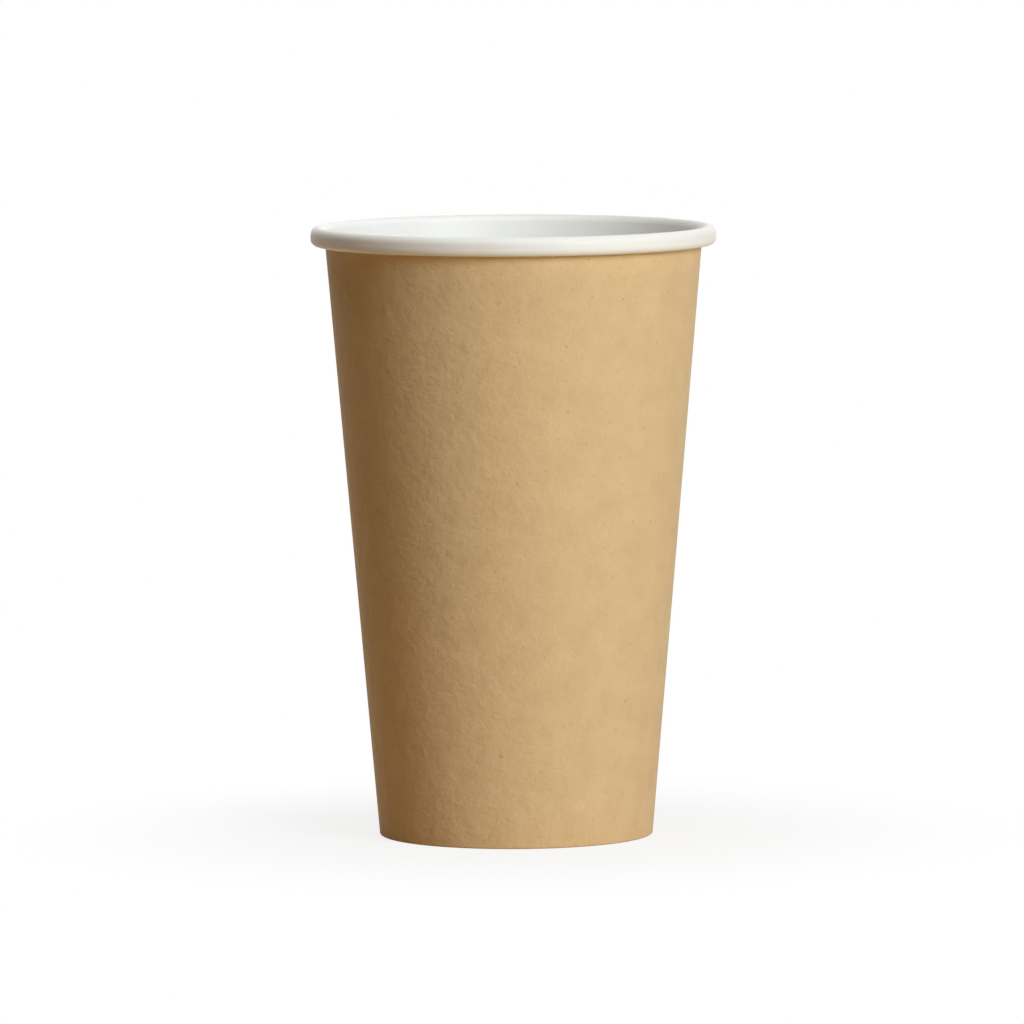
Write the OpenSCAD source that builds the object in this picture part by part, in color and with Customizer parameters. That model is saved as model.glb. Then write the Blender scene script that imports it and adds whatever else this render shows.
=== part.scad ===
// Paper cup: one curved blank makes the side wall with its rolled rim, side seam and turned-in hem,
// and a second, thinner piece makes the bottom. Origin at the middle of the foot ring, +Z up, in mm.

/* [Cup] */
// Outside diameter of the rolled rim
rim_d = 90; // [84:0.5:96]
// Height from the table to the top of the rim
cup_h = 135.5; // [100:0.5:160]
// Outside diameter of the wall's face, carried down to the table
base_d = 60.7; // [56:0.1:66]

/* [Board] */
// Thickness of the side wall board
wall_t = 0.38; // [0.32:0.01:0.42]
// Thickness of the bottom board
bottom_t = 0.3; // [0.24:0.01:0.36]
// Gap left between two layers that are sealed together
seal_gap = 0.02; // [0.01:0.01:0.05]

/* [Rolled rim] */
// Width of the roll at its top
roll_w = 3.4; // [3:0.1:4]
// Height of the roll
roll_h = 4; // [3.6:0.1:4.6]
// Gap between the turns of the roll
roll_gap = 0.1; // [0.06:0.01:0.14]
// Angle above level at which the blank's edge ends inside the roll
roll_end = 50; // [20:5:110]

/* [Foot] */
// Height of the turned-in hem above the table
hem_h = 6.5; // [4:0.5:9]
// Distance from the hem's edge up to the underside of the bottom
hem_gap = 1.5; // [1:0.1:3]
// Outside radius of the bend where the bottom turns down into its skirt
bend_r = 0.7; // [0.5:0.05:1]
// Width of the flat ring that stands on the table
foot_flat = 0.1; // [0.06:0.01:0.2]

/* [Side seam] */
// Direction of the seam round the cup, from +X
seam_a = 122; // [0:1:359]
// Width of the overlap
lap_w = 7; // [5:0.5:9]
// Angle in which the outer layer climbs over the edge of the inner one
climb_a = 8; // [6:0.5:9]

/* [Hidden] */
$fn = 180;

// Largest turn between two points along a bend
bend_step = 15;
// How far a cutting shape reaches past what it cuts
past = 1;
// How deep the climbing plane bites into the wall's faces, so that they cross cleanly
climb_bite = 0.05;

rim_r = rim_d / 2;
base_r = base_d / 2;

// Bend at the top of the roll: its centre and its outside radius
roll_r = roll_w / 2;
roll_c = [rim_r - roll_r, cup_h - roll_r];

// Half angle of the cone: from the foot, the wall's outer face passes under the bend at the top of the roll
reach = roll_c - [base_r, 0];
cone_a = atan2(reach[0], reach[1]) - asin((roll_r - wall_t) / norm(reach));
outward = [cos(cone_a), -sin(cone_a)];

// Bend under the roll: it fills the room between the rim's flank and the wall, less one gap
under_r = ((rim_r - base_r) * cos(cone_a) - (cup_h - roll_h) * sin(cone_a) - roll_gap)
    / (1 + cos(cone_a) + sin(cone_a));
under_c = [rim_r - under_r, cup_h - roll_h + under_r];

// Last bend, inside the first one, where the blank's edge ends
tuck_r = roll_r - wall_t - roll_gap;

// Layers at the foot, as depths inside the wall's outer face: wall, skirt of the bottom, hem
skirt_in = wall_t + seal_gap;
skirt_end = skirt_in + bottom_t;
hem_in = skirt_end + seal_gap;
stack_t = hem_in + wall_t;

// Fold at the foot: two equal bends with the flat ring between them
fold_r = (stack_t - foot_flat * cos(cone_a)) / 2;
fold_out_c = face(fold_r, fold_r);
fold_in_c = face(stack_t - fold_r, fold_r);

// Bottom: its underside, its upper face, the centre of its bend and the lower edge of its skirt
recess_h = hem_h + hem_gap;
floor_h = recess_h + bottom_t;
bend_c = face(skirt_in + bend_r, floor_h - bend_r);
skirt_foot = fold_r + seal_gap;

// Angle round the cup that holds the overlap at the foot, where it takes the most
lap_a = asin(lap_w / (base_r - stack_t - wall_t)) + past;

// Point in the section at height z and at a depth inside the wall's outer face
function face(depth, z) = [base_r + z * tan(cone_a) - depth / cos(cone_a), z];

// Points along an arc
function arc(c, r, from, to) = let(steps = ceil(abs(to - from) / bend_step))
    [for (i = [0:steps]) let(a = from + (to - from) * i / steps) c + r * [cos(a), sin(a)]];

// Board bent round a centre: pairs of points across its thickness
function bent(c, r_left, r_right, from, to) = let(left = arc(c, r_left, from, to), right = arc(c, r_right, from, to))
    [for (i = [0:len(left) - 1]) [left[i], right[i]]];

// Section of a board from a run of such pairs: straight wherever no bend is given
module board(pairs) {
    last = len(pairs) - 1;
    polygon([for (p = pairs) p[0], for (i = [last:-1:0]) pairs[i][1]]);
}

// From the tucked edge round the roll, down the wall, round the fold and up the hem
module wall_section() {
    board(concat(
        bent(roll_c, tuck_r, tuck_r - wall_t, roll_end, 180 - cone_a),
        bent(under_c, under_r, under_r - wall_t, 180 - cone_a, 360),
        bent(roll_c, roll_r, roll_r - wall_t, 0, 180 - cone_a),
        bent(fold_out_c, fold_r - wall_t, fold_r, -cone_a, -90),
        bent(fold_in_c, fold_r - wall_t, fold_r, -90, -180 - cone_a),
        [[face(hem_in, hem_h), face(stack_t, hem_h)]]));
}

// From the middle of the bottom out to its bend and down the skirt
module bottom_section() {
    board(concat(
        [[[0, floor_h], [0, recess_h]]],
        bent(bend_c, bend_r, bend_r - bottom_t, 90, -cone_a),
        [[face(skirt_in, skirt_foot), face(skirt_end, skirt_foot)]]));
}

// Second layer over the wall's outer face, from the fold up into the roll
module lap_wall_section() {
    polygon(concat(
        [face(wall_t / 2, under_c[1]), face(-wall_t, under_c[1])],
        arc(fold_out_c + [wall_t / cos(cone_a), 0], fold_r, -cone_a, -90),
        [[fold_out_c[0], 0], [fold_out_c[0], wall_t / 2], face(wall_t / 2, fold_r)]));
}

// Second layer over the hem's inner face
module lap_hem_section() {
    polygon(concat(
        [face(stack_t - wall_t / 2, hem_h), face(stack_t + wall_t, hem_h)],
        arc(fold_in_c - [wall_t / cos(cone_a), 0], fold_r, -180 - cone_a, -90),
        [[fold_in_c[0], 0], [fold_in_c[0], wall_t / 2], face(stack_t - wall_t / 2, fold_r)]));
}

// Solid block on the axis side of the plane in which the outer layer climbs, at a depth inside the
// wall's outer face
module under_climb(depth) {
    rotate([0, 0, -climb_a]) translate([base_r, 0, 0]) rotate([0, cone_a, 0])
        translate([-depth - cup_h, -cup_h, -cup_h]) cube([cup_h, 2 * cup_h, 3 * cup_h]);
}

// Solid block that keeps the overlap to its width, up to its cut edge
module within_lap() {
    translate([0, lap_w - 2 * rim_r, -past]) cube([rim_r + past, 2 * rim_r, cup_h]);
}

// Overlap: the outer layer climbs on one side and ends in its cut edge on the other
module lap() {
    intersection() {
        rotate_extrude(start = -climb_a, angle = climb_a + lap_a) lap_wall_section();
        under_climb(climb_bite);
        within_lap();
    }
    intersection() {
        rotate_extrude(start = 0, angle = lap_a) lap_hem_section();
        within_lap();
    }
}

// Groove along the inside of the seam, between the inner layer's cut edge and the climbing layer
module lap_groove() {
    intersection() {
        rotate_extrude(start = -climb_a, angle = climb_a)
            polygon([face(wall_t + past, floor_h), face(-wall_t, floor_h),
                face(-wall_t, under_c[1]), face(wall_t + past, under_c[1])]);
        under_climb(wall_t + climb_bite);
    }
}

module side_wall() {
    color("#c39b6b") rotate([0, 0, seam_a]) {
        difference() {
            rotate_extrude() wall_section();
            lap_groove();
        }
        lap();
    }
}

module cup_bottom() {
    color("#efece6") rotate_extrude() bottom_section();
}

side_wall();
cup_bottom();
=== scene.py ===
import math

import bpy
import numpy as np
from mathutils import Matrix, Vector


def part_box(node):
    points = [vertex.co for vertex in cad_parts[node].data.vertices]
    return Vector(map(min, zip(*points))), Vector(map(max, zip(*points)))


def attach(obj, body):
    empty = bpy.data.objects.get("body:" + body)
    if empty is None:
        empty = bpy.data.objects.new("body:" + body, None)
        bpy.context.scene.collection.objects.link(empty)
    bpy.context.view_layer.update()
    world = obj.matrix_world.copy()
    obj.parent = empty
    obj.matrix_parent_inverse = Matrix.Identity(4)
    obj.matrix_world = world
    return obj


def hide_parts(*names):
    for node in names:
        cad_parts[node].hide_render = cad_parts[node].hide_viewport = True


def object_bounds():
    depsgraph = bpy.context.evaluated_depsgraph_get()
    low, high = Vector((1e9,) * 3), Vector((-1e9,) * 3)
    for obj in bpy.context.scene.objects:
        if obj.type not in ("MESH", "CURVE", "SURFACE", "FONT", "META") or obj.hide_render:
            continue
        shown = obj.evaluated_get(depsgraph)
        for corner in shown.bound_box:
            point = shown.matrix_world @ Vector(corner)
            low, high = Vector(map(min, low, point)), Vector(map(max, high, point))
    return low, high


# A paper cup for hot drinks: kraft board outside, white coated board inside, with a rolled rim.
# Sizes in the dictionaries are millimetres and degrees unless a note says otherwise; meshes are in
# metres, in the CAD's frame: Z up along the axis, the foot at height 0, the viewer on the -Y side.

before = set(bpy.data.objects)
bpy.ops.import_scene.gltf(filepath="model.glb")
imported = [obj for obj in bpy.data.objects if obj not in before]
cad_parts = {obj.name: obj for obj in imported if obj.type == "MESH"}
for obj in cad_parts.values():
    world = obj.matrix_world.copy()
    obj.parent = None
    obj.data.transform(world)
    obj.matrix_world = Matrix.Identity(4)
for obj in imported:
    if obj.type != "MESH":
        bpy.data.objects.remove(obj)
cadLow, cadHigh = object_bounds()
bottomLow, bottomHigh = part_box("cup_bottom")
metre = 1000.0  # millimetres in a metre
sharpAngle = 40.0  # edges that turn more than this are drawn sharp: the cut edges of the board
print("frame loaded:", ", ".join(sorted(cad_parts)))

# Section helpers. A board's section is a run of pairs, each pair holding one point on the coated
# side and one on the kraft side, as (radius, height).


def bend(center, radii, fromAngle, toAngle, steps):
    # arcs about one centre, one for each side of the board: centre + radius * (cos a, sin a)
    a = np.radians(np.linspace(fromAngle, toAngle, steps + 1))
    ring = np.stack([np.cos(a), np.sin(a)], axis=-1)
    return np.array(center) + np.array(radii)[None, :, None] * ring[:, None, :]


def straight(start, end, steps):
    # pairs between two pairs, ends left out: start + (end - start) * t
    t = np.linspace(0, 1, steps + 1)[1:-1, None, None]
    return start + (end - start) * t


def insideWall(v, cone, depth, z):
    # point at height z, that far inside the wall's outer face: foot radius + z tan(cone) - depth / cos(cone)
    return [v["footRadius"] + z * math.tan(cone) - depth / math.cos(cone), z]


def pathLength(pairs):
    # distance along the middle of the board, from the first pair: running sum of the chords
    middle = pairs.mean(axis=1)
    chords = np.hypot(*np.diff(middle, axis=0).T)
    return np.concatenate([[0.0], np.cumsum(chords)])


def smoothStep(x, low, high):
    # 0 below low, 1 above high, and 3 t^2 - 2 t^3 between them
    t = np.clip((x - low) / (high - low), 0, 1)
    return t * t * (3 - 2 * t)


def waves(rows, turn, height=0.0):
    # sum of share * sin(count * turn + phase + drift * height)
    return sum(share * np.sin(count * turn + phase + drift * height) for share, count, phase, drift in rows)


def makeMesh(name, vertices, quads, triangles, uv, slots, materials):
    # one mesh from whole arrays; uv has one pair of numbers for each vertex
    corners = np.concatenate([quads.ravel(), triangles.ravel()]).astype(np.int32)
    sizes = np.concatenate([np.full(len(quads), 4), np.full(len(triangles), 3)]).astype(np.int32)
    starts = np.concatenate([[0], np.cumsum(sizes)[:-1]]).astype(np.int32)
    mesh = bpy.data.meshes.new(name)
    mesh.vertices.add(len(vertices))
    mesh.vertices.foreach_set("co", (vertices / metre).astype(np.float32).ravel())
    mesh.loops.add(len(corners))
    mesh.loops.foreach_set("vertex_index", corners)
    mesh.polygons.add(len(sizes))
    mesh.polygons.foreach_set("loop_start", starts)
    for material in materials:
        mesh.materials.append(material)
    mesh.polygons.foreach_set("material_index", slots.astype(np.int32))
    mesh.update(calc_edges=True)
    mesh.uv_layers.new(name="blank").data.foreach_set("uv", uv[corners].astype(np.float32).ravel())
    mesh.shade_smooth()
    mesh.set_sharp_from_angle(angle=math.radians(sharpAngle))
    mesh.validate()
    piece = bpy.data.objects.new(name, mesh)
    bpy.context.scene.collection.objects.link(piece)
    return piece


# Material helpers


def linear(hexColor):
    # sRGB hex to linear light: c / 12.92 near black, ((c + 0.055) / 1.055) ^ 2.4 above
    channels = [int(hexColor[i:i + 2], 16) / 255 for i in (1, 3, 5)]
    return [c / 12.92 if c <= 0.04045 else ((c + 0.055) / 1.055) ** 2.4 for c in channels] + [1.0]


def addNode(tree, kind, settings=None, inputs=None):
    # a node with its settings; an input is a value or another node's output. A Mix node for colours
    # has its share at input 0, its two colours at 6 and 7, and the mixed one at output 2.
    node = tree.nodes.new(kind)
    for name, value in (settings or {}).items():
        setattr(node, name, value)
    for name, value in (inputs or {}).items():
        if isinstance(value, bpy.types.NodeSocket):
            tree.links.new(value, node.inputs[name])
        else:
            node.inputs[name].default_value = value
    return node


def newMaterial(name):
    material = bpy.data.materials.new(name)
    material.use_nodes = True
    material.node_tree.nodes.clear()
    return material


# Kraft face of the board: unbleached pulp rolled smooth but left uncoated, so short light and dark
# fibres show in it, with a few darker specks of bark. It is matt, with a faint haze at grazing angles.
# Here and below, detail is how often a noise is halved in size and added, rough the strength it keeps.
kraft = {
    "dark": "#be9b69", "light": "#f6d7a6", "speck": "#7a5c3a",
    "roughness": 0.62, "specular": 0.12, "ior": 1.5, "sheen": 0.1, "sheenRoughness": 1.0,
    "bendSize": 2.4, "bendDetail": 1.0, "bendReach": 0.9,  # how far apart and how much the fibres curl
    "layers": [  # real fibres are 1 to 3 mm long and 0.03 mm wide: drawn 0.5 mm wide, so that they show
        {"cell": 2.3, "length": 1.6, "width": 0.5, "shift": (0.0, 0.0, 0.0), "weight": 1.0},
        {"cell": 1.9, "length": 1.3, "width": 0.45, "shift": (17.3, 5.1, 0.0), "weight": 1.0},
        {"cell": 2.7, "length": 2.1, "width": 0.6, "shift": (41.7, 23.9, 0.0), "weight": 0.9},
        {"cell": 1.1, "length": 0.8, "width": 0.4, "shift": (7.9, 61.3, 0.0), "weight": 0.7},
    ],
    "smallest": 0.5, "largest": 1.3,  # share of a layer's length and width that its fibres have
    "core": 0.2,  # share of that within which a fibre has its full tone
    "fibreTone": 0.104,  # share of the way from dark to light
    "fibreRelief": 0.028,  # drawn deeper than the real hundredth of a millimetre, so that it shows
    "cloudSize": 7.0, "cloudDetail": 4.0, "cloudRough": 0.6, "cloudTone": 0.16,  # uneven pulp
    "pressSize": 3.2, "pressDetail": 2.0, "pressRough": 0.6,
    "pressRelief": 0.195,  # uneven surface left by the rolls, drawn deeper too
    "speckCell": 6.5, "speckSize": 0.5, "speckShade": 0.3,
}


def fibreLayer(tree, place, layer, values):
    # one fibre in each cell of a scattered point pattern: the way from the cell's own point is
    # turned by the cell's random angle and squeezed to an ellipse as long and wide as the fibre,
    # which is then light or dark by the cell's random tone
    cell = layer["cell"]
    squeeze = (2 * cell / layer["length"], 2 * cell / layer["width"], 0)
    spot = addNode(tree, "ShaderNodeVectorMath", {"operation": "MULTIPLY_ADD"},
                   {0: place, 1: (1 / cell, 1 / cell, 0), 2: layer["shift"]}).outputs[0]
    cells = addNode(tree, "ShaderNodeTexVoronoi", {"voronoi_dimensions": "2D"},
                    {"Vector": spot, "Scale": 1.0})
    pick = addNode(tree, "ShaderNodeSeparateColor", None, {"Color": cells.outputs["Color"]})
    away = addNode(tree, "ShaderNodeVectorMath", {"operation": "SUBTRACT"},
                   {0: spot, 1: cells.outputs["Position"]}).outputs[0]
    angle = addNode(tree, "ShaderNodeMath", {"operation": "MULTIPLY"},
                    {0: pick.outputs["Red"], 1: math.pi}).outputs[0]
    turned = addNode(tree, "ShaderNodeVectorRotate", {"rotation_type": "Z_AXIS"},
                     {"Vector": away, "Angle": angle}).outputs[0]
    squeezed = addNode(tree, "ShaderNodeVectorMath", {"operation": "MULTIPLY"},
                       {0: turned, 1: squeeze}).outputs[0]
    reach = addNode(tree, "ShaderNodeVectorMath", {"operation": "LENGTH"}, {0: squeezed}).outputs["Value"]
    size = addNode(tree, "ShaderNodeMapRange", None,
                   {"Value": pick.outputs["Blue"], "To Min": values["smallest"],
                    "To Max": values["largest"]}).outputs[0]
    mask = addNode(tree, "ShaderNodeMapRange", {"interpolation_type": "SMOOTHSTEP"},
                   {"Value": reach, "From Min": size, "From Max": values["core"],
                    "To Min": 0.0, "To Max": 1.0}).outputs[0]
    tone = addNode(tree, "ShaderNodeMapRange", None,
                   {"Value": pick.outputs["Green"], "To Min": -1.0, "To Max": 1.0}).outputs[0]
    return addNode(tree, "ShaderNodeMath", {"operation": "MULTIPLY"}, {0: mask, 1: tone}).outputs[0]


def kraftFace(values):
    material = newMaterial("kraft_board_uncoated_face")
    tree = material.node_tree
    place = addNode(tree, "ShaderNodeUVMap", {"uv_map": "blank"}).outputs["UV"]
    curl = addNode(tree, "ShaderNodeTexNoise", {"noise_dimensions": "2D"},
                   {"Vector": place, "Scale": 1 / values["bendSize"],
                    "Detail": values["bendDetail"]}).outputs["Color"]
    reach = values["bendReach"]
    shift = addNode(tree, "ShaderNodeVectorMath", {"operation": "MULTIPLY_ADD"},
                    {0: curl, 1: (reach, reach, 0), 2: place}).outputs[0]

    # tone: the fibres over a broader cloud of thick and thin pulp
    fibres = 0.0
    for layer in values["layers"]:
        fibre = fibreLayer(tree, shift, layer, values)
        fibres = addNode(tree, "ShaderNodeMath", {"operation": "MULTIPLY_ADD"},
                         {0: fibre, 1: layer["weight"], 2: fibres}).outputs[0]
    cloud = addNode(tree, "ShaderNodeTexNoise", {"noise_dimensions": "2D"},
                    {"Vector": place, "Scale": 1 / values["cloudSize"], "Detail": values["cloudDetail"],
                     "Roughness": values["cloudRough"]}).outputs["Fac"]
    cloudTone = addNode(tree, "ShaderNodeMath", {"operation": "MULTIPLY_ADD"},
                        {0: cloud, 1: 2 * values["cloudTone"], 2: 0.5 - values["cloudTone"]}).outputs[0]
    tone = addNode(tree, "ShaderNodeMath", {"operation": "MULTIPLY_ADD"},
                   {0: fibres, 1: values["fibreTone"], 2: cloudTone}).outputs[0]
    color = addNode(tree, "ShaderNodeMix", {"data_type": "RGBA"},
                    {0: tone, 6: linear(values["dark"]), 7: linear(values["light"])}).outputs[2]

    # specks: one in each cell of a wide scattered pattern, of random size down to nothing
    cell = values["speckCell"]
    speckPlace = addNode(tree, "ShaderNodeVectorMath", {"operation": "SCALE"},
                         {0: shift, "Scale": 1 / cell}).outputs[0]
    specks = addNode(tree, "ShaderNodeTexVoronoi", {"voronoi_dimensions": "2D"},
                     {"Vector": speckPlace, "Scale": 1.0})
    pick = addNode(tree, "ShaderNodeSeparateColor", None, {"Color": specks.outputs["Color"]}).outputs["Red"]
    radius = addNode(tree, "ShaderNodeMath", {"operation": "MULTIPLY"},
                     {0: pick, 1: values["speckSize"] / cell}).outputs[0]
    speck = addNode(tree, "ShaderNodeMapRange", {"interpolation_type": "SMOOTHSTEP"},
                    {"Value": specks.outputs["Distance"], "From Min": radius, "From Max": 0.0,
                     "To Min": 0.0, "To Max": values["speckShade"]}).outputs[0]
    color = addNode(tree, "ShaderNodeMix", {"data_type": "RGBA"},
                    {0: speck, 6: color, 7: linear(values["speck"])}).outputs[2]

    # relief: the fibres again, over the marks of the press
    press = addNode(tree, "ShaderNodeTexNoise", {"noise_dimensions": "2D"},
                    {"Vector": place, "Scale": 1 / values["pressSize"], "Detail": values["pressDetail"],
                     "Roughness": values["pressRough"]}).outputs["Fac"]
    pressHeight = addNode(tree, "ShaderNodeMath", {"operation": "MULTIPLY"},
                          {0: press, 1: values["pressRelief"] / values["fibreRelief"]}).outputs[0]
    height = addNode(tree, "ShaderNodeMath", {"operation": "ADD"}, {0: fibres, 1: pressHeight}).outputs[0]
    relief = addNode(tree, "ShaderNodeBump", None,
                     {"Height": height, "Strength": 1.0,
                      "Distance": values["fibreRelief"] / metre}).outputs[0]
    shader = addNode(tree, "ShaderNodeBsdfPrincipled", None,
                     {"Base Color": color, "Roughness": values["roughness"], "IOR": values["ior"],
                      "Specular IOR Level": values["specular"], "Sheen Weight": values["sheen"],
                      "Sheen Roughness": values["sheenRoughness"], "Normal": relief}).outputs[0]
    addNode(tree, "ShaderNodeOutputMaterial", None, {"Surface": shader})
    return material


# Coated face of the board: bleached pulp under a thin film of polyethylene, cast on a chilled roll.
# It is off-white with a soft low gloss, and the pulp under the film prints through as faint unevenness.
coated = {
    "base": "#f6f5f2", "shade": "#f2f1ee",
    "roughness": 0.5, "specular": 0.35, "ior": 1.51,
    "cloudSize": 7.0, "cloudDetail": 3.0,
    "pulpSize": 1.4, "pulpDetail": 3.0, "pulpRough": 0.6, "pulpRelief": 0.004,
}


def coatedFace(values):
    material = newMaterial("polyethylene_coated_white_board")
    tree = material.node_tree
    place = addNode(tree, "ShaderNodeUVMap", {"uv_map": "blank"}).outputs["UV"]
    cloud = addNode(tree, "ShaderNodeTexNoise", {"noise_dimensions": "2D"},
                    {"Vector": place, "Scale": 1 / values["cloudSize"],
                     "Detail": values["cloudDetail"]}).outputs["Fac"]
    color = addNode(tree, "ShaderNodeMix", {"data_type": "RGBA"},
                    {0: cloud, 6: linear(values["base"]), 7: linear(values["shade"])}).outputs[2]
    pulp = addNode(tree, "ShaderNodeTexNoise", {"noise_dimensions": "2D"},
                   {"Vector": place, "Scale": 1 / values["pulpSize"], "Detail": values["pulpDetail"],
                    "Roughness": values["pulpRough"]}).outputs["Fac"]
    relief = addNode(tree, "ShaderNodeBump", None,
                     {"Height": pulp, "Strength": 1.0, "Distance": values["pulpRelief"] / metre}).outputs[0]
    shader = addNode(tree, "ShaderNodeBsdfPrincipled", None,
                     {"Base Color": color, "Roughness": values["roughness"], "IOR": values["ior"],
                      "Specular IOR Level": values["specular"], "Normal": relief}).outputs[0]
    addNode(tree, "ShaderNodeOutputMaterial", None, {"Surface": shader})
    return material


# Cut edge of the board: die-cut, so all plies show as a rough pale core between the two faces. Matt.
cutEdge = {"pale": "#ddccaa", "brown": "#b99566", "roughness": 0.85, "ior": 1.5,
           "fuzzSize": 0.25, "fuzzDetail": 2.0}


def edgeFace(values):
    material = newMaterial("die_cut_board_edge")
    tree = material.node_tree
    place = addNode(tree, "ShaderNodeTexCoord").outputs["Object"]
    fuzz = addNode(tree, "ShaderNodeTexNoise", None,
                   {"Vector": place, "Scale": metre / values["fuzzSize"],
                    "Detail": values["fuzzDetail"]}).outputs["Fac"]
    color = addNode(tree, "ShaderNodeMix", {"data_type": "RGBA"},
                    {0: fuzz, 6: linear(values["pale"]), 7: linear(values["brown"])}).outputs[2]
    shader = addNode(tree, "ShaderNodeBsdfPrincipled", None,
                     {"Base Color": color, "Roughness": values["roughness"],
                      "IOR": values["ior"]}).outputs[0]
    addNode(tree, "ShaderNodeOutputMaterial", None, {"Surface": shader})
    return material


kraftMaterial = kraftFace(kraft)
coatedMaterial = coatedFace(coated)
edgeMaterial = edgeFace(cutEdge)
print("materials made: kraft face, coated face, cut edge")

# Side wall: one curved blank, lapped along a seam, rolled outward at the top and turned in at the foot.
# Waves are rows of share, count round the axis, phase in radians and drift in radians a millimetre up.
wall = {
    "rimRadius": (cadHigh.x - cadLow.x) / 2 * metre, "height": cadHigh.z * metre, "footRadius": 30.35,
    "board": 0.38, "slack": 0.02, "bottomBoard": 0.3,
    "rollWidth": 3.4, "rollHeight": 4.2, "rollGap": 0.1, "rollEnd": 50,
    "hemHeight": 6.5, "footFlat": 0.1,
    "tuckSteps": 7, "joinSteps": 2, "underSteps": 20, "crownSteps": 24,  # round the roll
    "wallSteps": 27, "foldSteps": 6, "hemSteps": 5,  # down the wall, round the fold, up the hem
    "seamAngle": 122, "lapWidth": 7.0, "climbAngle": 8.0,
    "planeEnd": 45.0,  # where the seam's flat plane is given up, long after it has met the inner layer
    "columns": 480, "lapColumns": 14, "easeOut": 30.0,  # columns over the lap, and where they are even again
    "cutSlant": 0.01,  # half the run of a cut edge along the wall
    "rollStart": -1.5, "rollStop": 1.0,  # distance down from the roll over which it turns into the wall
    "rimRaise": 0.3, "rimFall": 5.0,  # how much the second layer thickens the roll, and its soft end's angle
    "knurls": 80, "knurlDepth": 0.09,  # press marks inside the hem
    "wallWave": 0.03, "wallWaves": [(0.5, 3, 0.0, 0.021), (0.3, 7, 1.3, -0.043), (0.2, 13, 0.4, 0.078)],
    "waveFrom": 9.0, "waveTo": 25.0,  # heights between which the wall gets its waves
    "rimWave": 0.02, "rimWaves": [(0.5, 5, 0.6, 0.0), (0.3, 11, 2.1, 0.0), (0.2, 23, 0.9, 0.0)],
}


def wallSection(v):
    # the blank's section from its tucked edge round the roll, down the wall, round the fold, up the hem
    t, rollR, top = v["board"], v["rollWidth"] / 2, v["height"]
    rim, low = v["rimRadius"] - v["rimWave"], top - v["rollHeight"]
    rollCenter = np.array([rim - rollR, top - rollR])
    reach = rollCenter - [v["footRadius"], 0]
    cone = math.atan2(*reach) - math.asin((rollR - t) / np.hypot(*reach))
    sine, cosine = math.sin(cone), math.cos(cone)
    degrees = math.degrees(cone)
    # the roll's lower arc touches its outermost line and its lowest line, and clears the wall by the gap
    clear = (v["rimRadius"] - v["footRadius"]) * cosine - low * sine - v["rollGap"]
    underR = clear / (1 + cosine + sine)
    underCenter = [rim - underR, low + underR]
    tuckR = rollR - t - v["rollGap"]
    hemIn = t + 2 * v["slack"] + v["bottomBoard"]
    stack = hemIn + t
    foldR = (stack - v["footFlat"] * cosine) / 2

    tuck = bend(rollCenter, (tuckR, tuckR - t), v["rollEnd"], 180 - degrees, v["tuckSteps"])
    under = bend(underCenter, (underR, underR - t), 180 - degrees, 360, v["underSteps"])
    crown = bend(rollCenter, (rollR, rollR - t), 0, 180 - degrees, v["crownSteps"])
    foldOut = bend(insideWall(v, cone, foldR, foldR), (foldR - t, foldR), -degrees, -90, v["foldSteps"])
    foldIn = bend(insideWall(v, cone, stack - foldR, foldR), (foldR - t, foldR), -90, -180 - degrees,
                  v["foldSteps"])
    hemEdge = np.array([[insideWall(v, cone, depth, v["hemHeight"]) for depth in (hemIn, stack)]])
    parts = [tuck, straight(tuck[-1], under[0], v["joinSteps"]), under,
             straight(under[-1], crown[0], v["joinSteps"]), crown,
             straight(crown[-1], foldOut[0], v["wallSteps"]), foldOut, foldIn,
             straight(foldIn[-1], hemEdge[0], v["hemSteps"]), hemEdge]
    starts = np.cumsum([0] + [len(part) for part in parts])
    return {"pairs": np.concatenate(parts), "cone": cone, "wallTop": starts[5] - 1, "wallFoot": starts[6],
            "foldMiddle": starts[7], "hemFoot": starts[8]}


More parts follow.
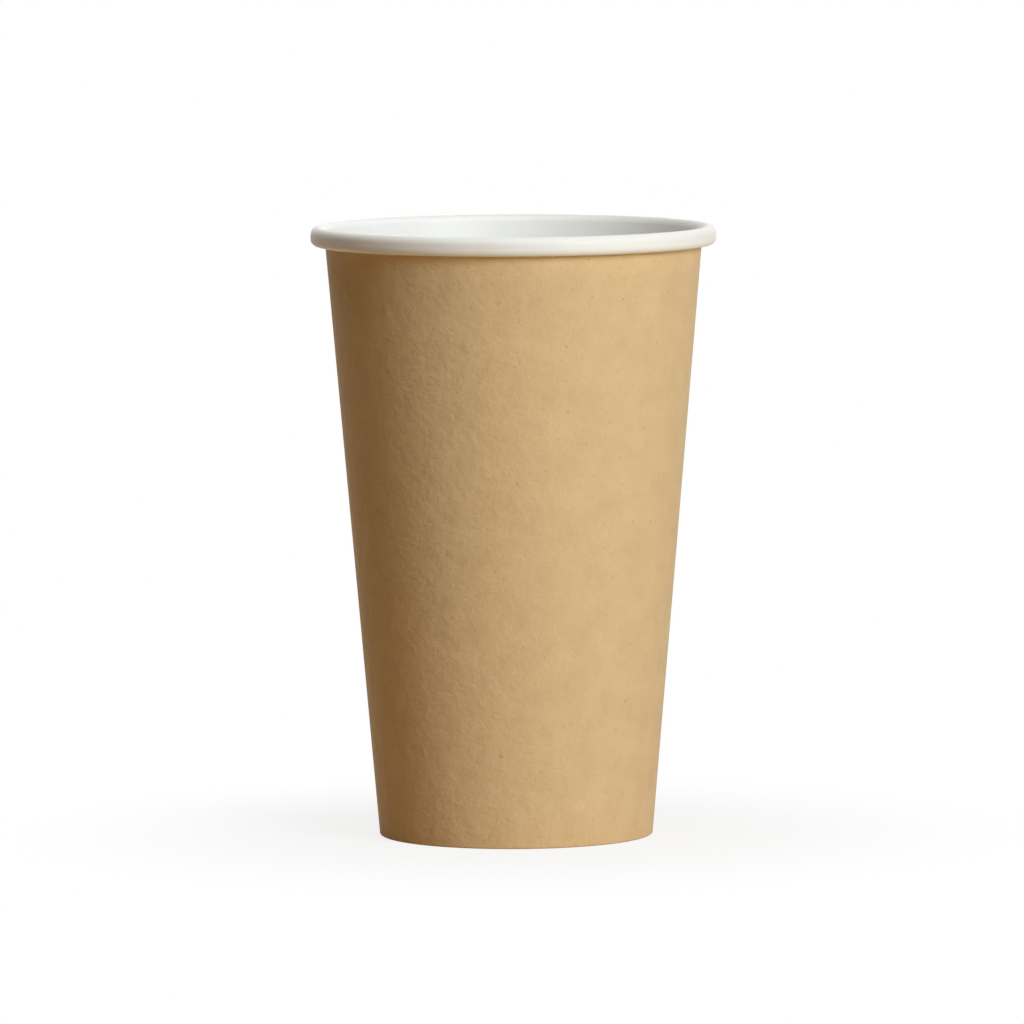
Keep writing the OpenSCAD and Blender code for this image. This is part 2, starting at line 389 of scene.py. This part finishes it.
def buildWall(v):
    section = wallSection(v)
    pairs, cone, t = section["pairs"], section["cone"], v["board"]
    along = pathLength(pairs)
    down = along - along[section["wallTop"]]  # distance down from the roll, negative round it
    rolled = 1 - smoothStep(down, v["rollStart"], v["rollStop"])  # 1 on the roll, 0 on the wall

    # columns: even steps round the axis, with two at each cut edge of the lap
    step = 360 / v["columns"]
    lapKnot = v["lapColumns"] * step
    even = (np.arange(v["columns"]) - v["columns"] // 2) * step
    base = np.sort(np.concatenate([even, [0.0, lapKnot]]))[:, None, None]
    index = np.arange(len(base))[:, None, None]
    innerCut = np.flatnonzero(base.ravel() == 0.0)
    outerCut = np.flatnonzero(base.ravel() == lapKnot)
    pastInner, pastOuter = index >= innerCut[1], index >= outerCut[1]

    # the cut edge of the outer layer runs in the plane y = lap width, so its angle is asin(width / radius):
    # the columns near it are moved there, less and less with distance
    radius = np.broadcast_to(pairs[None, :, :, 0], (len(base),) + pairs.shape[:2]).copy()
    height = np.broadcast_to(pairs[None, :, :, 1], radius.shape).copy()
    lapEnd = np.degrees(np.arcsin(v["lapWidth"] / radius))
    hat = np.clip(np.minimum(base / lapKnot, (v["easeOut"] - base) / (v["easeOut"] - lapKnot)), 0, 1)
    angle = base + (lapEnd - lapKnot) * hat
    slant = np.degrees(v["cutSlant"] / radius)
    for first, second in (innerCut, outerCut):
        angle[first] -= slant[first]
        angle[second] += slant[second]

    # seam: the outer layer leaves the cone along a flat tangent plane, radius * (1 / cos - 1), until it
    # lies on the inner layer; it ends in its cut edge. Inside, the same plane leaves a groove.
    leaving = np.radians(np.clip(angle + v["climbAngle"], 0, v["planeEnd"]))
    climb = np.minimum(radius * (1 / np.cos(leaving) - 1), t)
    outside, inside = np.where(pastOuter, 0, climb), np.where(pastInner, 0, climb)
    row = np.arange(len(pairs))
    side = np.where(row < section["foldMiddle"], 1.0, -1.0)[None, :]  # the hem's kraft side faces the axis
    onWall = (1 - rolled)[None, :]
    radius[:, :, 1] += outside[:, :, 1] * side * onWall / math.cos(cone)
    radius[:, :, 0] += inside[:, :, 0] * onWall * np.where(row < section["wallFoot"], 1.0, 0.0)[None, :]

    # the second layer thickens the roll's flanks, raise * (1 - upward^2), and leaves its top level:
    # a sharp step at the inner layer's cut edge, a soft fall past the lap
    fall = 1 - smoothStep(angle, lapEnd, lapEnd + v["rimFall"])
    across = pairs[:, 0] - pairs[:, 1]
    outward = across / np.linalg.norm(across, axis=1, keepdims=True)
    thickening = v["rimRaise"] * (1 - np.clip(outward[:, 1], 0, 1) ** 2)
    thicker = np.where(pastInner, fall, 0)[:, :, 0] * (thickening * rolled)[None, :]
    radius[:, :, 0] += thicker * outward[None, :, 0]
    height[:, :, 0] += thicker * outward[None, :, 1]

    # faint unevenness of formed board: a few waves round the axis that drift with height; the foot has
    # none, because the bottom holds it round
    turn = np.radians(angle)
    free = smoothStep(height, v["waveFrom"], v["waveTo"])
    radius += v["wallWave"] * waves(v["wallWaves"], turn, height) * free * (1 - rolled)[None, :, None]
    radius += v["rimWave"] * waves(v["rimWaves"], turn) * rolled[None, :, None]

    # press marks inside the hem: depth * (1 - cos(marks * turn)) / 2, fading at the hem's ends
    up = (along - along[section["hemFoot"]]) / (along[-1] - along[section["hemFoot"]])
    fade = np.where(row >= section["hemFoot"], np.sqrt(np.sin(np.pi * np.clip(up, 0, 1))), 0.0)[None, :]
    radius[:, :, 1] += v["knurlDepth"] * fade * (1 - np.cos(v["knurls"] * turn[:, :, 1])) / 2

    # the two sides joined to one closed loop: coated side down, kraft side back up
    def loop(grid):
        return np.concatenate([grid[:, :, 0], grid[:, ::-1, 1]], axis=1)

    world = np.radians(loop(angle) + v["seamAngle"])
    vertices = np.stack([loop(radius) * np.cos(world), loop(radius) * np.sin(world), loop(height)], axis=-1)

    # blank coordinates: the cone rolled out flat, where the distance from its tip is that along the board
    # and the turn is the angle round the axis times the sine of the cone's half angle
    blankAngle = angle.copy()
    blankAngle[:, :, 0] -= np.where(pastInner, 360, 0)[:, :, 0]
    blankAngle[:, :, 1] -= np.where(pastOuter, 360, 0)[:, :, 0]
    fan = np.radians(loop(blankAngle)) * math.sin(cone)
    foot = section["wallFoot"]
    tip = pairs[foot].mean(axis=0)[0] / math.sin(cone) + along[foot] - along
    rho = loop(np.broadcast_to(tip[None, :, None], angle.shape))
    uv = np.stack([rho * np.cos(fan), rho * np.sin(fan)], axis=-1)

    # faces: material 0 is kraft, 1 coated, 2 cut edge
    columns, rows = vertices.shape[:2]
    number = np.arange(columns * rows).reshape(columns, rows)
    nextColumn, nextRow = np.roll(number, -1, axis=0), np.roll(number, -1, axis=1)
    opposite = np.roll(nextColumn, -1, axis=1)
    quads = np.stack([number, nextColumn, opposite, nextRow], axis=-1)
    slots = np.zeros((columns, rows), int)
    half = len(pairs)
    slots[:, :half] = 1
    slots[:, [half - 1, rows - 1]] = 2
    slots[innerCut[0], :half] = 2
    slots[outerCut[0], half:rows - 1] = 2
    return makeMesh("side_wall_board", vertices.reshape(-1, 3), quads.reshape(-1, 4),
                    np.zeros((0, 3), int), uv.reshape(-1, 2), slots.ravel(),
                    [kraftMaterial, coatedMaterial, edgeMaterial])


wallPiece = buildWall(wall)
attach(wallPiece, "root")
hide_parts("side_wall")
print("side wall made:", len(wallPiece.data.polygons), "faces")

# Bottom: a disc of thinner board whose edge is turned down into a skirt between the wall and the hem.
# Its ripples are rows like the wall's waves.
bottom = {
    "board": wall["bottomBoard"], "top": bottomHigh.z * metre, "foot": bottomLow.z * metre,
    "bendRadius": 0.7, "columns": 240, "rings": 18, "bendSteps": 8, "skirtSteps": 4,
    "sag": 0.15, "ripple": 0.02, "ripples": [(1.0, 3, 0.8, 0.0), (0.6, 5, 2.0, 0.0)],
}


def buildBottom(v, w):
    cone = wallSection(w)["cone"]
    degrees = math.degrees(cone)
    skirtIn = w["board"] + w["slack"]
    bendCenter = insideWall(w, cone, skirtIn + v["bendRadius"], v["top"] - v["bendRadius"])
    bendRadii = (v["bendRadius"], v["bendRadius"] - v["board"])
    shoulder = bend(bendCenter, bendRadii, 90, -degrees, v["bendSteps"])
    skirtEdge = np.array([[insideWall(w, cone, skirtIn, v["foot"]),
                           insideWall(w, cone, skirtIn + v["board"], v["foot"])]])
    middle = np.array([[[0.0, v["top"]], [0.0, v["top"] - v["board"]]]])
    pairs = np.concatenate([middle, straight(middle[0], shoulder[0], v["rings"]), shoulder,
                            straight(shoulder[-1], skirtEdge[0], v["skirtSteps"]), skirtEdge])
    along = pathLength(pairs)

    # the disc hangs a little in its middle, sag * (1 - s^2)^2 with s = r / R, and has a faint ripple
    # round it, ripple * 4 s^2 (1 - s^2), which is full where s^2 is a half
    angle = np.radians(np.arange(v["columns"]) * 360 / v["columns"])[:, None, None]
    radius = np.broadcast_to(pairs[None, :, :, 0], (v["columns"],) + pairs.shape[:2])
    height = np.broadcast_to(pairs[None, :, :, 1], radius.shape)
    share = np.clip(radius / shoulder[0, 0, 0], 0, 1) ** 2
    height = (height - v["sag"] * (1 - share) ** 2
              + v["ripple"] * 4 * share * (1 - share) * waves(v["ripples"], angle))

    # top side outward, then the lower side back in; both poles are closed by fans of triangles
    def loop(grid):
        return np.concatenate([grid[:, 1:, 0], grid[:, :0:-1, 1]], axis=1)

    around = loop(np.broadcast_to(angle, radius.shape))
    rings = np.stack([loop(radius) * np.cos(around), loop(radius) * np.sin(around), loop(height)], axis=-1)
    rho = loop(np.broadcast_to(along[None, :, None], radius.shape))
    ringUv = np.stack([rho * np.cos(around), rho * np.sin(around)], axis=-1)

    columns, rows = rings.shape[:2]
    number = np.arange(columns * rows).reshape(columns, rows)
    following = np.roll(number, -1, axis=0)
    quads = np.stack([number[:, :-1], number[:, 1:], following[:, 1:], following[:, :-1]], axis=-1)
    topPole, lowPole = columns * rows, columns * rows + 1
    poles = np.array([[0, 0, height[0, 0, 0]], [0, 0, height[0, 0, 1]]])
    topFan = np.stack([np.full(columns, topPole), number[:, 0], following[:, 0]], axis=-1)
    lowFan = np.stack([np.full(columns, lowPole), following[:, -1], number[:, -1]], axis=-1)
    triangles = np.concatenate([topFan, lowFan])
    slots = np.zeros((columns, rows - 1), int)
    slots[:, len(pairs) - 2] = 1  # the skirt's cut edge
    slots = np.concatenate([slots.ravel(), np.zeros(len(triangles), int)])
    return makeMesh("cup_bottom_board", np.concatenate([rings.reshape(-1, 3), poles]), quads.reshape(-1, 4),
                    triangles, np.concatenate([ringUv.reshape(-1, 2), np.zeros((2, 2))]), slots,
                    [coatedMaterial, edgeMaterial])


bottomPiece = buildBottom(bottom, wall)
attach(bottomPiece, "root")
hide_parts("cup_bottom")
print("bottom made:", len(bottomPiece.data.polygons), "faces")

# Camera, from the edges of the cup in the photograph: distance and target in metres
view = {"target": (-0.000615, 0.0, 0.0718), "distance": 2.27, "elevation": 5.0, "roll": -0.286,
        "lens": 359.2, "sensor": 36.0}


def makeCamera(v):
    tilt = math.radians(v["elevation"])
    back = Vector((0, -math.cos(tilt), math.sin(tilt)))
    data = bpy.data.cameras.new("camera")
    data.lens, data.sensor_width = v["lens"], v["sensor"]
    camera = bpy.data.objects.new("camera", data)
    turn = Matrix.Rotation(math.pi / 2 - tilt, 3, "X") @ Matrix.Rotation(math.radians(v["roll"]), 3, "Z")
    camera.rotation_euler = turn.to_euler()
    camera.location = Vector(v["target"]) + back * v["distance"]
    bpy.context.scene.collection.objects.link(camera)
    bpy.context.scene.camera = camera


makeCamera(view)

# Soft studio light: a key and a weaker lamp from the right, a small one over the mouth that opens up the
# far inner wall, and one behind. Directions are degrees round the cup from the viewer, positive to the
# right, and above level; distances, sizes and reaches are metres, powers are watts.
lamps = {
    "key": {"side": 37, "above": 22, "distance": 1.6, "size": 0.8, "power": 17.6, "color": (0.9, 0.98, 1)},
    "right": {"side": 55, "above": 8, "distance": 1.6, "size": 0.8, "power": 4.0, "color": (0.92, 0.98, 1)},
    "mouth": {"side": -45, "above": 80, "distance": 0.3, "size": 0.2, "power": 0.26,
              "color": (1, 0.97, 0.93)},
    "back": {"side": 180, "above": 18, "distance": 1.6, "size": 1.8, "power": 7.0, "color": (1, 1, 1)},
}
surround = {"fill": "#ffb878", "fillStrength": 0.04}  # faint warm light from all round
floor = {
    "reach": 9.0,
    "bounce": "#e6c28e",  # tint of the light that it throws back, as a wooden table does
    "matt": "#ffffff",
    "mattShare": 0.16, "mattFrom": 0.03, "mattTo": 0.12,  # round the foot, where it keeps the cup's shadow
}


def makeLamps(rows, target):
    for name, row in rows.items():
        side, above = math.radians(row["side"]), math.radians(row["above"])
        away = Vector((math.sin(side) * math.cos(above), -math.cos(side) * math.cos(above), math.sin(above)))
        data = bpy.data.lights.new(name, "AREA")
        data.shape, data.size = "DISK", row["size"]
        data.energy, data.color = row["power"], row["color"]
        lamp = bpy.data.objects.new(name, data)
        lamp.location = target + away * row["distance"]
        lamp.rotation_euler = away.to_track_quat("Z", "Y").to_euler()
        bpy.context.scene.collection.objects.link(lamp)


def seenDirectly(tree):
    # 1 for rays from the camera, off gloss or through glass, 0 for light that falls on a surface
    path = addNode(tree, "ShaderNodeLightPath")
    either = addNode(tree, "ShaderNodeMath", {"operation": "MAXIMUM"},
                     {0: path.outputs["Is Camera Ray"], 1: path.outputs["Is Glossy Ray"]}).outputs[0]
    return addNode(tree, "ShaderNodeMath", {"operation": "MAXIMUM"},
                   {0: either, 1: path.outputs["Is Transmission Ray"]}).outputs[0]


def makeSurround(v):
    world = bpy.data.worlds.new("studio")
    bpy.context.scene.world = world
    world.use_nodes = True
    tree = world.node_tree
    tree.nodes.clear()
    fill = addNode(tree, "ShaderNodeBackground", None,
                   {"Color": linear(v["fill"]), "Strength": v["fillStrength"]}).outputs[0]
    white = addNode(tree, "ShaderNodeBackground", None, {"Color": (1, 1, 1, 1), "Strength": 1.0}).outputs[0]
    both = addNode(tree, "ShaderNodeMixShader", None, {0: seenDirectly(tree), 1: fill, 2: white}).outputs[0]
    addNode(tree, "ShaderNodeOutputWorld", None, {"Surface": both})


def makeFloor(v):
    material = newMaterial("pale_studio_floor")
    tree = material.node_tree
    bounce = addNode(tree, "ShaderNodeBsdfDiffuse", None, {"Color": linear(v["bounce"])}).outputs[0]
    matt = addNode(tree, "ShaderNodeBsdfDiffuse", None, {"Color": linear(v["matt"])}).outputs[0]
    white = addNode(tree, "ShaderNodeEmission", None, {"Color": (1, 1, 1, 1), "Strength": 1.0}).outputs[0]
    place = addNode(tree, "ShaderNodeTexCoord").outputs["Object"]
    away = addNode(tree, "ShaderNodeVectorMath", {"operation": "LENGTH"}, {0: place}).outputs["Value"]
    share = addNode(tree, "ShaderNodeMapRange", {"interpolation_type": "SMOOTHSTEP"},
                    {"Value": away, "From Min": v["mattFrom"], "From Max": v["mattTo"],
                     "To Min": v["mattShare"], "To Max": 0.0}).outputs[0]
    seen = addNode(tree, "ShaderNodeMixShader", None, {0: share, 1: white, 2: matt}).outputs[0]
    both = addNode(tree, "ShaderNodeMixShader", None, {0: seenDirectly(tree), 1: bounce, 2: seen}).outputs[0]
    addNode(tree, "ShaderNodeOutputMaterial", None, {"Surface": both})
    mesh = bpy.data.meshes.new("floor")
    r = v["reach"]
    mesh.from_pydata([(-r, -r, 0), (r, -r, 0), (r, r, 0), (-r, r, 0)], [], [(0, 1, 2, 3)])
    mesh.materials.append(material)
    piece = bpy.data.objects.new("floor", mesh)
    bpy.context.scene.collection.objects.link(piece)


makeLamps(lamps, Vector(view["target"]))
makeSurround(surround)
makeFloor(floor)
bpy.context.scene.view_settings.view_transform = "Standard"
print("studio made: camera,", len(lamps), "lamps, floor")

bpy.context.view_layer.update()
